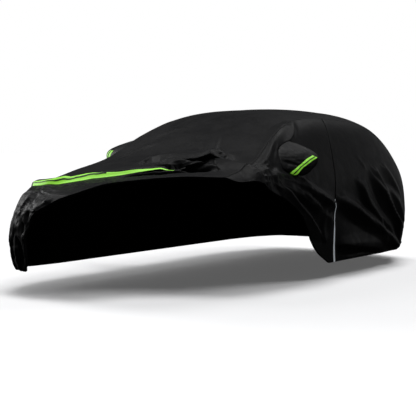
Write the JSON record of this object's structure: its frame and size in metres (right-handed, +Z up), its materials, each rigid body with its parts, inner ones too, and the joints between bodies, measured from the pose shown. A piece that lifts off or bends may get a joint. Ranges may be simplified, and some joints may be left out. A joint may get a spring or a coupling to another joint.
{
  "type": "car cover",
  "caption": "Fitted black cloth car cover with mirror pockets, yellow-green reflective bands and a side zip, drawn back off one front corner.",
  "frame": {"origin": "under the cloth of the roof, over the middle of the cabin", "axes": "+Z up, -Y towards the front of the cover, +X towards its left side"},
  "size_m": [2.2185, 4.4397, 1.3442],
  "materials": {
    "cloth": "soft satin woven polyester",
    "bright_tape": "fluorescent yellow-green",
    "grey_tape": "grey reflective",
    "zip": "light grey zip tape and teeth"
  },
  "bodies": {
    "root": {"top_panel": "cloth", "right_side_panel": "cloth", "left_door_panel": "cloth", "left_rear_panel": "cloth", "mirror_pocket_left": "cloth", "mirror_pocket_right": "cloth", "front_tape": "bright_tape", "front_tape_stripe": "grey_tape", "mirror_tape_left": "bright_tape", "mirror_tape_stripe_left": "grey_tape", "mirror_tape_right": "bright_tape", "mirror_tape_stripe_right": "grey_tape", "door_zip": "zip"}
  },
  "joints": []
}
